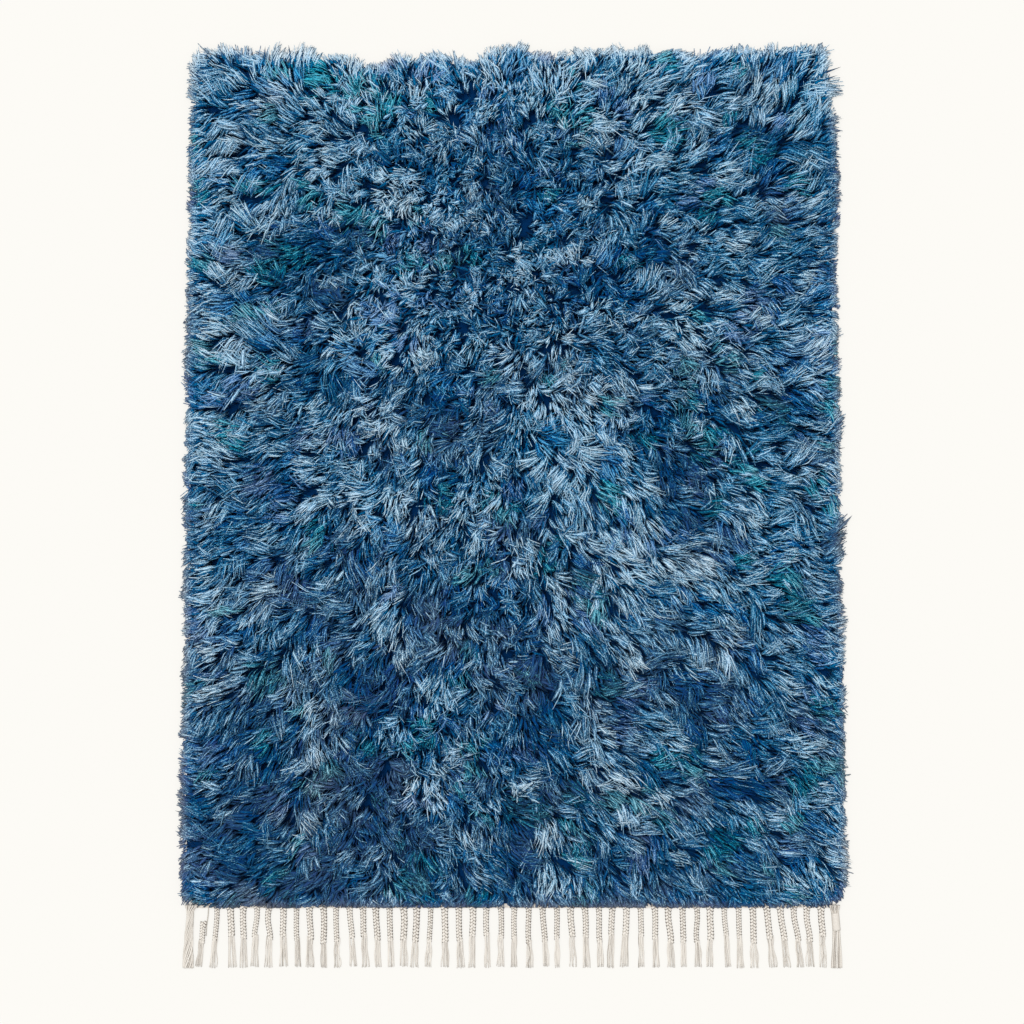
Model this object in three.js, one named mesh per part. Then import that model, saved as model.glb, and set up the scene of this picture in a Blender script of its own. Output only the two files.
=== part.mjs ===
// A long-pile knotted wool rug that lies flat, with braided warp ends along one short end.
// Millimetres, Z up. The origin is on the floor at the middle of the footprint,
// X runs across the rug and the fringed end points to -Y.
import * as THREE from "three";
import { ImprovedNoise } from "three/addons/math/ImprovedNoise.js";

const { clamp, degToRad, lerp, seededRandom } = THREE.MathUtils;

// Where the rug begins and ends along Y
const PLAIN_END = 1058; // the furthest pile tips
const PILE_END = -908; // the last row of pile
const FRINGE_END = -1058; // the cut ends of the fringe yarns

// Pile, as a slab of combed locks
const PILE_LOW = 15; // between two locks
const PILE_HIGH = 45; // along a lock's crest
const LOCK_WIDTH = 54; // from crest to crest
const STREAK_STEP = 17; // a lock is drawn out by this much at a time along its lie
const STREAK_STEPS = 2; // and this often to each side
const STREAK_CONTRAST = 2.1;
const SWELL = 6; // broad rise and fall of the whole pile
const SWELL_WIDTH = 260;
const GRID_PITCH = 30;
const GRID_JITTER = 5;

// The rim, where locks lie out over the floor
const RIM_LOCK_PITCH = 46;
const RIM_LOCK_TIP = 7; // thickness at a tip
const RIM_NOTCH = 14; // thickness in the notch between two locks
const RIM_CREST = 27;
const RIM_VALLEY = 17;
const RIM_MIDDLE = 24; // from the tips to a lock's crest
const RIM_WIDTH = 42; // from the tips to where the slab proper begins
const RIM_LEAN = 12; // how far a lock's tip follows the lie along the edge
const RIM_SHORT = 5; // the most by which a tip falls short
const RIM_SOFTENING = 110; // the slab thins over this distance towards the rim
const RIM_THIN = 0.72;
const CORNER_RADIUS = 40;

// The flat underside
const UNDERSIDE_MARGIN = 130;
const UNDERSIDE_PITCH = 210;

// Fringe
const GAP = 0.3; // between the pile and the fringe's strip
const STRIP_WIDTH = 10;
const STRIP_HEIGHT = 8;
const STRIP_OVERHANG = 6; // past the outermost braids
const FIRST_BRAID_X = -740;
const BRAID_WIDTH = 13.5;
const END_BRAID_WIDTH = 21; // the first and the last braid are thick
const ROOT_FLARE = 3;
const BRAID_LENGTH = 80;
const BRAID_STEPS = 7;
const BRAID_HEIGHT = 10;
const BRAID_BUMP = 1.3; // how far the plait bulges to one side and then the other
const TAIL_HEIGHT = 5;
const TAIL_SPREAD = 1.35; // width across the loose ends over the braid's
const TAIL_FILL = 0.78; // share of that width that is yarn
const TAILS = 3;
const TAIL_SHORTEST = 9; // the most by which a lock's ends fall short

// How far the pile's tips reach to the left and right, down the rug
const SIDE_REACH = [
  { y: 1058, left: -738, right: 722 },
  { y: 880, left: -746, right: 739 },
  { y: 750, left: -748, right: 750 },
  { y: 14, left: -756, right: 752 },
  { y: -908, left: -767, right: 767 },
];

// How far the tips fall short of the plain end, across the rug
const PLAIN_END_SHORT = [
  { x: -767, short: 12 },
  { x: -717, short: 11 },
  { x: -641, short: 0 },
  { x: -568, short: 18 },
  { x: -513, short: 9 },
  { x: -437, short: 23 },
  { x: -385, short: 16 },
  { x: -340, short: 40 },
  { x: -254, short: 9 },
  { x: -185, short: 20 },
  { x: -96, short: 38 },
  { x: -32, short: 0 },
  { x: 11, short: 0 },
  { x: 101, short: 24 },
  { x: 213, short: 0 },
  { x: 426, short: 9 },
  { x: 561, short: 16 },
  { x: 637, short: 0 },
  { x: 767, short: 14 },
];

// How deep the notches between rim locks are at each edge
const NOTCH_DEPTH = { plainEnd: 22, side: 14, fringeEnd: 4 };

// The way the pile's tips point, in degrees from +X towards +Y, seen from above.
// Between the entries the directions are blended, and where they meet head on the pile stands up.
const LIE_COLUMNS = [
  { x: -708, column: "farLeft" },
  { x: -490, column: "left" },
  { x: -261, column: "midLeft" },
  { x: -32, column: "middle" },
  { x: 220, column: "midRight" },
  { x: 472, column: "right" },
  { x: 724, column: "farRight" },
];
const LIE_ROWS = [
  { y: 1000, farLeft: 150, left: 114, midLeft: 85, middle: 80, midRight: 73, right: 53, farRight: 72 },
  { y: 885, farLeft: 168, left: 178, midLeft: 142, middle: 57, midRight: 30, right: 45, farRight: 60 },
  { y: 745, farLeft: 175, left: 200, midLeft: 225, middle: 75, midRight: 24, right: 28, farRight: 20 },
  { y: 565, farLeft: 177, left: 190, midLeft: 215, middle: 84, midRight: 18, right: 1, farRight: 0 },
  { y: 355, farLeft: 184, left: 203, midLeft: 222, middle: 248, midRight: 335, right: 347, farRight: 10 },
  { y: 130, farLeft: 187, left: 197, midLeft: 237, middle: 264, midRight: 295, right: 337, farRight: 355 },
  { y: -125, farLeft: 190, left: 215, midLeft: 250, middle: 276, midRight: 308, right: 338, farRight: 342 },
  { y: -400, farLeft: 194, left: 240, midLeft: 245, middle: 288, midRight: 325, right: 330, farRight: 350 },
  { y: -675, farLeft: 195, left: 227, midLeft: 278, middle: 306, midRight: 342, right: 330, farRight: 335 },
  { y: -880, farLeft: 195, left: 215, midLeft: 262, middle: 275, midRight: 290, right: 312, farRight: 315 },
];

// The braids, group by group from the left: how far apart they leave the strip,
// and how far their ends drift sideways
const BRAID_GROUPS = [
  { braids: 3, pitch: 30.3, drift: -11 },
  { braids: 2, pitch: 30.3, drift: 3 },
  { braids: 2, pitch: 30.3, drift: -5 },
  { braids: 5, pitch: 30.3, drift: 2 },
  { braids: 2, pitch: 30.3, drift: 7 },
  { braids: 3, pitch: 31.1, drift: 3 },
  { braids: 2, pitch: 32, drift: -7 },
  { braids: 7, pitch: 32, drift: 1 },
  { braids: 4, pitch: 32, drift: 6 },
  { braids: 1, pitch: 32, drift: 7 },
  { braids: 2, pitch: 32, drift: -7 },
  { braids: 5, pitch: 32, drift: 4 },
  { braids: 1, pitch: 32, drift: -3 },
  { braids: 3, pitch: 32, drift: 8 },
  { braids: 3, pitch: 31.3, drift: 16 },
  { braids: 3, pitch: 31.3, drift: 7 },
];

const noise = new ImprovedNoise();
const SEED = 48;
seededRandom(SEED);

// A value at a place between two rows of a table, whose rows may run up or down.
function lookUp(rows, key, at, valueOf) {
  const rising = rows.at(0)[key] < rows.at(-1)[key] ? rows : rows.toReversed();
  const after = rising.findIndex((row) => row[key] >= at);
  if (after === 0) return valueOf(rising.at(0));
  if (after < 0) return valueOf(rising.at(-1));
  const low = rising[after - 1];
  const high = rising[after];
  return lerp(valueOf(low), valueOf(high), (at - low[key]) / (high[key] - low[key]));
}

// The horizontal direction of the pile at a point. It is shorter where the pile stands up.
function lieAt(x, y) {
  const part = (turn) =>
    lookUp(LIE_COLUMNS, "x", x, ({ column }) =>
      lookUp(LIE_ROWS, "y", y, (row) => turn(degToRad(row[column]))),
    );
  return new THREE.Vector2(part(Math.cos), part(Math.sin));
}

const leftReach = (y) => lookUp(SIDE_REACH, "y", y, (row) => row.left);
const rightReach = (y) => lookUp(SIDE_REACH, "y", y, (row) => row.right);
const plainEndReach = (x) => PLAIN_END - lookUp(PLAIN_END_SHORT, "x", x, (row) => row.short);

// Closed surfaces are put together from shared vertices.
class Surface {
  constructor() {
    this.positions = [];
    this.faces = [];
  }

  vertex(x, y, z) {
    return this.positions.push(new THREE.Vector3(x, y, z)) - 1;
  }

  triangle(a, b, c) {
    this.faces.push(a, b, c);
  }

  // Corners counter-clockwise, cut along the flatter diagonal.
  quad(a, b, c, d) {
    const rise = (from, to) => Math.abs(this.positions[from].z - this.positions[to].z);
    if (rise(a, c) <= rise(b, d)) {
      this.triangle(a, b, c);
      this.triangle(a, c, d);
    } else {
      this.triangle(a, b, d);
      this.triangle(b, c, d);
    }
  }

  // Joins two loops that both run counter-clockwise, one round the other, always along the
  // shorter way across.
  bridge(outer, inner, facesUp = true) {
    const gap = (a, b) => this.positions[a].distanceTo(this.positions[b]);
    let i = 0;
    let j = 0;
    while (i < outer.length || j < inner.length) {
      const from = outer[i % outer.length];
      const to = inner[j % inner.length];
      const nextOuter = outer[(i + 1) % outer.length];
      const nextInner = inner[(j + 1) % inner.length];
      const outerTurn = j >= inner.length || (i < outer.length && gap(nextOuter, to) <= gap(from, nextInner));
      const third = outerTurn ? nextOuter : nextInner;
      if (facesUp) this.triangle(from, third, to);
      else this.triangle(from, to, third);
      if (outerTurn) i += 1;
      else j += 1;
    }
  }

  // A wall that stands on a counter-clockwise loop and faces out.
  wall(bottom, top) {
    bottom.forEach((corner, k) => {
      const next = (k + 1) % bottom.length;
      this.quad(corner, bottom[next], top[next], top[k]);
    });
  }

  geometry() {
    return new THREE.BufferGeometry().setFromPoints(this.positions).setIndex(this.faces);
  }
}

// The line that the pile's tips reach, counter-clockwise from the fringed end's left corner.
function tipLine() {
  const path = new THREE.Path();
  const left = leftReach(PILE_END);
  const right = rightReach(PILE_END);
  const top = PLAIN_END - CORNER_RADIUS;
  const upRows = SIDE_REACH.filter(({ y }) => y > PILE_END && y < top).toReversed();
  path.moveTo(left + CORNER_RADIUS, PILE_END);
  path.lineTo(right - CORNER_RADIUS, PILE_END);
  path.quadraticCurveTo(right, PILE_END, rightReach(PILE_END + CORNER_RADIUS), PILE_END + CORNER_RADIUS);
  upRows.forEach((row) => path.lineTo(row.right, row.y));
  path.lineTo(rightReach(top), top);
  const rightCorner = rightReach(PLAIN_END);
  const leftCorner = leftReach(PLAIN_END);
  const rightStart = rightCorner - CORNER_RADIUS;
  const leftStart = leftCorner + CORNER_RADIUS;
  path.quadraticCurveTo(rightCorner, plainEndReach(rightCorner), rightStart, plainEndReach(rightStart));
  PLAIN_END_SHORT.filter(({ x }) => x > leftStart && x < rightStart)
    .toReversed()
    .forEach(({ x }) => path.lineTo(x, plainEndReach(x)));
  path.lineTo(leftStart, plainEndReach(leftStart));
  path.quadraticCurveTo(leftCorner, plainEndReach(leftCorner), leftReach(top), top);
  upRows.toReversed().forEach((row) => path.lineTo(row.left, row.y));
  path.lineTo(leftReach(PILE_END + CORNER_RADIUS), PILE_END + CORNER_RADIUS);
  path.quadraticCurveTo(left, PILE_END, left + CORNER_RADIUS, PILE_END);
  return path;
}

// Height of the combed pile: noise drawn out along the lie, so its crests run as locks do.
function pileHeight(x, y) {
  const lie = lieAt(x, y);
  let sum = 0;
  for (let step = -STREAK_STEPS; step <= STREAK_STEPS; step += 1) {
    const along = step * STREAK_STEP;
    sum += noise.noise((x + lie.x * along) / LOCK_WIDTH, (y + lie.y * along) / LOCK_WIDTH, 0);
  }
  const streak = clamp(0.5 + (STREAK_CONTRAST * sum) / (2 * STREAK_STEPS + 1), 0, 1);
  const swell = SWELL * (noise.noise(x / SWELL_WIDTH, y / SWELL_WIDTH, 5) - 1);
  const inside = Math.min(x - leftReach(y), rightReach(y) - x, plainEndReach(x) - y, y - PILE_END);
  const thinning = lerp(RIM_THIN, 1, clamp(inside / RIM_SOFTENING, 0, 1));
  return clamp(lerp(PILE_LOW, PILE_HIGH, streak) + swell, PILE_LOW - SWELL, PILE_HIGH) * thinning;
}

// The slab's upper side within the rim. Returns its edge as a counter-clockwise loop.
function addPileField(surface) {
  const columns = Math.round((rightReach(0) - leftReach(0) - 2 * RIM_WIDTH) / GRID_PITCH);
  const rows = Math.round((PLAIN_END - PILE_END - 2 * RIM_WIDTH) / GRID_PITCH);
  const grid = [];
  for (let row = 0; row <= rows; row += 1) {
    const level = lerp(PILE_END + RIM_WIDTH, PLAIN_END - RIM_WIDTH, row / rows);
    const line = [];
    for (let column = 0; column <= columns; column += 1) {
      const onEdge = row === 0 || row === rows || column === 0 || column === columns;
      const jitter = onEdge ? 0 : GRID_JITTER;
      const evenX = lerp(leftReach(level) + RIM_WIDTH, rightReach(level) - RIM_WIDTH, column / columns);
      const x = evenX + jitter * (2 * seededRandom() - 1);
      const evenY = lerp(PILE_END + RIM_WIDTH, plainEndReach(x) - RIM_WIDTH, row / rows);
      const y = evenY + jitter * (2 * seededRandom() - 1);
      line.push(surface.vertex(x, y, pileHeight(x, y)));
    }
    grid.push(line);
  }
  for (let row = 0; row < rows; row += 1) {
    for (let column = 0; column < columns; column += 1) {
      const [low, high] = [grid[row], grid[row + 1]];
      surface.quad(low[column], low[column + 1], high[column + 1], high[column]);
    }
  }
  return [
    ...grid[0].slice(0, -1),
    ...grid.slice(0, -1).map((line) => line[columns]),
    ...grid[rows].slice(1).toReversed(),
    ...grid.slice(1).toReversed().map((line) => line[0]),
  ];
}

// One lock of the rim for each step along the tip line: a notch, a blunt tip, and behind them
// a valley and a crest. Returns the loops of the floor line, the tips' tops and the crests.
function addRimLocks(surface) {
  const line = tipLine();
  const count = Math.round(line.getLength() / RIM_LOCK_PITCH);
  const loops = { floor: [], tips: [], crests: [] };

  const place = (share, inset, slide) => {
    const at = (share / count) % 1;
    const point = line.getPointAt(at);
    const tangent = line.getTangentAt(at);
    const outward = new THREE.Vector2(tangent.y, -tangent.x);
    point.addScaledVector(outward, -inset);
    return point.addScaledVector(tangent, slide * lieAt(point.x, point.y).dot(tangent));
  };
  const notchDepth = (share) => {
    const outwardY = -line.getTangentAt((share / count) % 1).x;
    if (outwardY > Math.SQRT1_2) return NOTCH_DEPTH.plainEnd;
    return outwardY < -Math.SQRT1_2 ? NOTCH_DEPTH.fringeEnd : NOTCH_DEPTH.side;
  };
  const addEdge = (point, height) => {
    loops.floor.push(surface.vertex(point.x, point.y, 0));
    loops.tips.push(surface.vertex(point.x, point.y, height));
  };

  for (let lock = 0; lock < count; lock += 1) {
    const short = RIM_SHORT * seededRandom();
    const depth = notchDepth(lock) * lerp(0.6, 1, seededRandom());
    const wide = lerp(0.13, 0.2, seededRandom());
    const lean = depth > NOTCH_DEPTH.fringeEnd ? RIM_LEAN : 0;
    const tipShort = lean ? short : 0;
    addEdge(place(lock, depth, 0), RIM_NOTCH);
    addEdge(place(lock + 0.5 - wide, tipShort, lean), RIM_LOCK_TIP);
    addEdge(place(lock + 0.5 + wide, tipShort, lean), RIM_LOCK_TIP);
    const valley = place(lock, RIM_MIDDLE + depth / 4, 0);
    const crest = place(lock + 0.5, RIM_MIDDLE, lean / 2);
    loops.crests.push(surface.vertex(valley.x, valley.y, RIM_VALLEY));
    loops.crests.push(surface.vertex(crest.x, crest.y, RIM_CREST));
  }
  return loops;
}

// The flat underside: a coarse grid, joined to the floor line of the rim.
function addUnderside(surface, floor) {
  const low = PILE_END + UNDERSIDE_MARGIN;
  const high = PLAIN_END - UNDERSIDE_MARGIN;
  const halfWidth = rightReach(high) - UNDERSIDE_MARGIN;
  const columns = Math.round((2 * halfWidth) / UNDERSIDE_PITCH);
  const rows = Math.round((high - low) / UNDERSIDE_PITCH);
  const grid = [];
  for (let row = 0; row <= rows; row += 1) {
    const y = lerp(low, high, row / rows);
    const line = [];
    for (let column = 0; column <= columns; column += 1) {
      line.push(surface.vertex(lerp(-halfWidth, halfWidth, column / columns), y, 0));
    }
    grid.push(line);
  }
  for (let row = 0; row < rows; row += 1) {
    for (let column = 0; column < columns; column += 1) {
      const [near, far] = [grid[row], grid[row + 1]];
      surface.quad(near[column], far[column], far[column + 1], near[column + 1]);
    }
  }
  const loop = [
    ...grid[0].slice(0, -1),
    ...grid.slice(0, -1).map((line) => line[columns]),
    ...grid[rows].slice(1).toReversed(),
    ...grid.slice(1).toReversed().map((line) => line[0]),
  ];
  surface.bridge(floor, loop, false);
}

// The pile on its woven ground, as one slab with locks at its rim.
function pileGeometry() {
  const surface = new Surface();
  const { floor, tips, crests } = addRimLocks(surface);
  const field = addPileField(surface);
  surface.wall(floor, tips);
  surface.bridge(tips, crests);
  surface.bridge(crests, field);
  addUnderside(surface, floor);
  return surface.geometry();
}

// The braids as a list, from the groups: where each leaves the strip, where it ends, its width.
function braidList() {
  const braids = [];
  let x = FIRST_BRAID_X;
  for (const { braids: number, pitch, drift } of BRAID_GROUPS) {
    for (let k = 0; k < number; k += 1) {
      braids.push({ x, drift, width: BRAID_WIDTH, short: TAIL_SHORTEST * seededRandom() });
      x += pitch;
    }
  }
  braids.at(0).width = END_BRAID_WIDTH;
  braids.at(-1).width = END_BRAID_WIDTH;
  return braids;
}

// Four corners of an upright section, counter-clockwise seen from the tip's side.
function addSection(surface, left, right, y, height) {
  return {
    low: [surface.vertex(left, y, 0), surface.vertex(right, y, 0)],
    high: [surface.vertex(left, y, height), surface.vertex(right, y, height)],
  };
}

// Skins one step of a strand, from the section nearer the rug to the next one towards the tips.
function addStep(surface, from, to) {
  const [fromLeft, fromRight] = [from.low.at(0), from.low.at(-1)];
  const [toLeft, toRight] = [to.low.at(0), to.low.at(-1)];
  surface.quad(toLeft, to.high.at(0), from.high.at(0), fromLeft);
  surface.quad(fromRight, from.high.at(-1), to.high.at(-1), toRight);
  addFan(surface, from.high, to.high, true);
  addFan(surface, from.low, to.low, false);
}

// The upper or lower side of a step, whose far edge may have more points than its near edge.
function addFan(surface, near, far, facesUp) {
  const face = (a, b, c) => (facesUp ? surface.triangle(a, b, c) : surface.triangle(a, c, b));
  const middle = Math.floor((far.length - 1) / 2);
  for (let k = 0; k < far.length - 1; k += 1) face(far[k], far[k + 1], k < middle ? near[0] : near[1]);
  face(far[middle], near[1], near[0]);
}

// One braid with its loose ends. Returns its root section on the strip's edge.
function addBraid(surface, { x, drift, width, short }, stripEdge) {
  const rootWidth = width + ROOT_FLARE;
  const root = addSection(surface, x - rootWidth / 2, x + rootWidth / 2, stripEdge, STRIP_HEIGHT);
  const tipY = FRINGE_END + short;
  const driftAt = (y) => x + (drift * (stripEdge - y)) / (stripEdge - tipY);
  let section = root;
  for (let step = 1; step < BRAID_STEPS; step += 1) {
    const y = stripEdge - (BRAID_LENGTH * step) / BRAID_STEPS;
    const bump = step % 2 ? BRAID_BUMP : -BRAID_BUMP;
    const middle = driftAt(y) + bump;
    const next = addSection(surface, middle - width / 2, middle + width / 2, y, BRAID_HEIGHT - bump / 2);
    addStep(surface, section, next);
    section = next;
  }
  addTails(surface, section, driftAt, width, stripEdge - BRAID_LENGTH, tipY);
  return root;
}

// The braid's last section is split between the loose ends, which fan out from it.
function addTails(surface, section, driftAt, width, startY, tipY) {
  const start = { low: [], high: [] };
  const pitch = width / (TAILS - 1 + TAIL_FILL);
  const tails = [];
  for (let tail = 0; tail < TAILS; tail += 1) {
    const offset = (tail - (TAILS - 1) / 2) * pitch;
    const half = (pitch * TAIL_FILL) / 2;
    const left = driftAt(startY) + offset - half;
    const root = addSection(surface, left, left + 2 * half, startY, BRAID_HEIGHT);
    const tip = driftAt(tipY) + offset * TAIL_SPREAD;
    tails.push({ root, end: addSection(surface, tip - half, tip + half, tipY, TAIL_HEIGHT) });
    start.low.push(...root.low);
    start.high.push(...root.high);
  }
  addStep(surface, section, start);
  tails.forEach(({ root, end }, k) => {
    addStep(surface, root, end);
    surface.quad(end.low[0], end.low[1], end.high[1], end.high[0]);
    const next = tails[k + 1]?.root;
    if (next) surface.quad(root.low[1], next.low[0], next.high[0], root.high[1]);
  });
}

// The woven end strip with every braid growing out of its outer edge, all in one piece.
function fringeGeometry() {
  const surface = new Surface();
  const inner = PILE_END - GAP;
  const outer = inner - STRIP_WIDTH;
  const braids = braidList();
  const roots = braids.map((braid) => addBraid(surface, braid, outer));
  const stripEnd = (braid, side) => braid.x + side * (braid.width / 2 + STRIP_OVERHANG);
  const [first, last] = [stripEnd(braids.at(0), -1), stripEnd(braids.at(-1), 1)];
  const along = (part, z) => [
    surface.vertex(first, outer, z),
    ...roots.flatMap((root) => root[part]),
    surface.vertex(last, outer, z),
  ];
  const low = along("low", 0);
  const high = along("high", STRIP_HEIGHT);
  const back = low.map((corner) => {
    const { x } = surface.positions[corner];
    return { low: surface.vertex(x, inner, 0), high: surface.vertex(x, inner, STRIP_HEIGHT) };
  });
  for (let k = 0; k < low.length - 1; k += 1) {
    surface.quad(low[k], back[k].low, back[k + 1].low, low[k + 1]);
    surface.quad(high[k], high[k + 1], back[k + 1].high, back[k].high);
    surface.quad(back[k].low, back[k].high, back[k + 1].high, back[k + 1].low);
    const betweenBraids = k % 2 === 0;
    if (betweenBraids) surface.quad(low[k], low[k + 1], high[k + 1], high[k]);
  }
  surface.quad(low.at(0), high.at(0), back.at(0).high, back.at(0).low);
  surface.quad(low.at(-1), back.at(-1).low, back.at(-1).high, high.at(-1));
  return surface.geometry();
}

function piece(name, geometry, color) {
  geometry.computeVertexNormals();
  const wool = new THREE.MeshStandardMaterial({ color, roughness: 0.95, metalness: 0 });
  const mesh = new THREE.Mesh(geometry, wool);
  mesh.name = name;
  return mesh;
}

const rug = new THREE.Group();
rug.add(piece("pile_and_ground", pileGeometry(), 0x2f5c7c));
rug.add(piece("braided_fringe", fringeGeometry(), 0xe6dfd1));

// The footprint's middle goes to the origin.
const middle = new THREE.Box3().setFromObject(rug).getCenter(new THREE.Vector3());
rug.children.forEach(({ geometry }) => geometry.translate(-middle.x, -middle.y, 0));

export default rug;
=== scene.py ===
import math
from collections import namedtuple

import bpy
import numpy as np
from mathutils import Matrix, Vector, kdtree, noise


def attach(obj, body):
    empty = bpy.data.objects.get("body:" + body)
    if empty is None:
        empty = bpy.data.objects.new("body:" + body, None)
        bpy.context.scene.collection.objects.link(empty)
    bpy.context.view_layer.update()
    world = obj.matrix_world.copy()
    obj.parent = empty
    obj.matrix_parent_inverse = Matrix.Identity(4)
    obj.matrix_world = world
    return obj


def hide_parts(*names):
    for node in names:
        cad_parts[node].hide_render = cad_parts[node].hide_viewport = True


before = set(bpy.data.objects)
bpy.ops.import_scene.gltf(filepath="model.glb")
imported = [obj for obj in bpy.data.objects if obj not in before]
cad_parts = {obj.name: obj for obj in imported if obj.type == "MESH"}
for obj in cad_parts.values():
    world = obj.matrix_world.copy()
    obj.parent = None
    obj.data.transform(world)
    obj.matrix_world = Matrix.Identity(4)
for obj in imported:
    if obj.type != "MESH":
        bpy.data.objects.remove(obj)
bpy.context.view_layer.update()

# A long-pile knotted wool rug that lies flat, with braided warp ends along its near short end.
# Metres, in the frame's own axes: X across the rug, the fringe towards -Y, Z up.

SEED = 48
rng = np.random.default_rng(SEED)

# Where the rug begins and ends along Y
PLAIN_END = 1.0575
PILE_END = -0.919
STRIP_START = -0.9098
STRIP_END = -0.9204
FRINGE_END = -1.058

# How far the pile's tips reach to the left and right, up the rug
SIDE_REACH = {
    -0.908: (-0.768, 0.761), -0.770: (-0.760, 0.759), -0.600: (-0.761, 0.758),
    -0.300: (-0.752, 0.754), -0.100: (-0.754, 0.747), 0.014: (-0.753, 0.749),
    0.400: (-0.750, 0.741), 0.540: (-0.747, 0.739), 0.750: (-0.740, 0.743),
    0.880: (-0.741, 0.734), 1.058: (-0.738, 0.715),
}

# How far the pile falls short of its line at the fringe, at places across the rug
FRINGE_END_SHORT = {
    -0.767: 0.012, -0.738: 0.007, -0.712: 0.001, -0.600: 0.0, 0.680: 0.0, 0.715: 0.005, 0.767: 0.012,
}

# How far the tips fall short of the plain end, at places across the rug
PLAIN_END_SHORT = {
    -0.767: 0.018, -0.717: 0.016, -0.641: 0.013, -0.568: 0.024, -0.513: 0.024,
    -0.437: 0.030, -0.385: 0.028, -0.346: 0.048, -0.302: 0.046, -0.254: 0.027,
    -0.225: 0.030, -0.165: 0.026, -0.096: 0.043, -0.032: 0.006, 0.011: 0.005,
    0.045: 0.019, 0.090: 0.027, 0.135: 0.018, 0.213: 0.015, 0.362: 0.012, 0.430: 0.027,
    0.470: 0.017, 0.522: 0.007, 0.561: 0.016, 0.637: 0.005, 0.690: 0.0, 0.767: 0.012,
}

# The way the pile's tips point, in degrees from +X towards +Y, at places across and up the rug
LIE_ACROSS = (-0.708, -0.490, -0.261, -0.032, 0.220, 0.472, 0.724)
LIE_UP = {
    -0.880: (195, 215, 262, 275, 290, 312, 315),
    -0.675: (195, 227, 278, 306, 342, 330, 335),
    -0.400: (194, 240, 245, 288, 325, 330, 350),
    -0.125: (190, 215, 250, 276, 308, 338, 342),
    0.130: (187, 197, 237, 264, 295, 337, 355),
    0.355: (184, 203, 222, 248, 335, 347, 10),
    0.565: (177, 190, 215, 84, 18, 1, 0),
    0.745: (175, 200, 225, 75, 24, 28, 20),
    0.885: (168, 178, 142, 57, 30, 45, 60),
    1.000: (150, 114, 85, 80, 73, 53, 72),
}

# The dyed yarns, the plain ones first and from dark to light: colours from painted shade deep in the
# pile and on the flanks to painted highlight at the crests and tips
YARNS = {
    "navy": ((6, 66, 130), (13, 74, 114), (43, 115, 156), (110, 167, 201)),
    "slate": ((6, 68, 130), (21, 86, 124), (76, 139, 175), (145, 193, 220)),
    "steel": ((8, 72, 132), (35, 99, 136), (111, 167, 200), (178, 214, 237)),
    "pale": ((10, 74, 134), (54, 117, 154), (143, 195, 226), (197, 227, 248)),
    "mist": ((12, 75, 132), (64, 119, 151), (156, 199, 221), (207, 231, 246)),
    "teal": ((5, 65, 106), (9, 91, 119), (48, 147, 174), (134, 200, 218)),
    "cobalt": ((6, 60, 130), (17, 79, 130), (55, 128, 182), (135, 189, 223)),
    "violet": ((12, 61, 127), (34, 84, 130), (91, 138, 185), (156, 190, 226)),
}
# The wool deep in the pile, its colours likewise running from painted shade to painted highlight
DEEP_WOOL = ((1, 46, 90), (10, 92, 140), (26, 112, 160), (52, 134, 180))
# The ground's top: the pile's packed blue roots, dark navy as painted shade under the pile
ROOTS_IN_SHADE = (1, 48, 96)
DYES = list(YARNS)
PALE = DYES.index("pale")
MIST = DYES.index("mist")
PLAIN_STEPS = 4.6
ACCENT_ABOVE = 0.34
TEAL_BELOW = 0.05
NO_ACCENT = -1
VIOLET_BELOW = -0.64
ACCENT_SHARE = 0.80
STRAY_SHARE = 0.30
STRAND_STRAY_SHARE = 0.20

# An area is its middle along X and Y and half its length along each, in centimetres. Last comes the
# dye that prevails there, or how much the area adds in its middle, in hundredths.
DYE_AREAS = [
    (10.1, 13.7, 3.4, 3.4, "cobalt"), (21.1, 7.8, 3.4, 3.4, "cobalt"), (30, 15.1, 2.6, 2.6, "teal"),
    (52.9, 8.5, 2.8, 2.4, "teal"), (51.5, 39.6, 4.2, 2.8, "violet"), (-19.9, -52.4, 3.8, 3, "teal"),
    (-72.8, 26.6, 3, 4, "cobalt"), (-44, 98.7, 3.4, 4.4, "teal"), (-31.1, 43.7, 5.6, 3.4, "violet"),
    (-52.4, 57, 4.5, 3, "teal"), (-73, 72.6, 3.4, 2.2, "teal"), (-56, -40, 5, 3.4, "teal"),
    (69.8, -72.8, 4.8, 3.4, "cobalt"), (65.7, -81, 3.6, 3, "cobalt"), (54.5, -59, 3, 2.6, "cobalt"),
    (66.9, -63, 3, 2.2, "teal"), (0, 102, 3.4, 3.6, "cobalt"), (-66, -30, 6, 3, "cobalt"),
    (-69, -56, 5, 4, "cobalt"), (35, 86, 4, 3, "teal"), (-27.5, 68, 5, 4.5, "mist"),
]

# How rich the dyes are up the rug, areas where they are richer or greyer, and chance on top of both:
# size of its patches, swing and layer of noise
RICHNESS = {-0.92: -0.03, -0.30: -0.02, 0.0: 0.03, 0.50: 0.03, 0.80: 0.07, 1.06: 0.08}
RICH_AREAS = [
    (8, 10, 16, 10, 5), (-62, 20, 12, 16, 5), (62, -45, 14, 35, 6), (-20, -22, 14, 8, -7),
    (-45, -62, 16, 12, -5), (40, 3, 8, 14, -4), (-42, 50, 10, 8, -4), (-74, 7, 4, 5, 26),
    (-71, 82, 4, 6, 24), (52, -89, 5, 4, 24), (-30, 42, 4, 4, 24), (-56, -89, 5, 4, -22),
    (39, 77, 5, 4, 22), (-5, 90, 4, 5, 22), (63, 93, 5, 4, 22), (-44, 97, 4, 4, 22),
    (-59, 39, 5, 4, -20), (70, -37, 5, 4, 22), (-13, -76, 4, 4, 20), (5, -39, 4, 4, -20),
    (-35, -45, 4, 4, -20), (68, -73, 4, 4, 20), (55, -2, 4, 4, 18), (-18, -49, 4, 6, 20),
    (20, -41, 4, 4, -18), (49, -73, 4, 4, 18),
]
RICH_SWINGS = ((0.12, 0.13, 23.1), (0.050, 0.20, 31.7))

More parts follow.
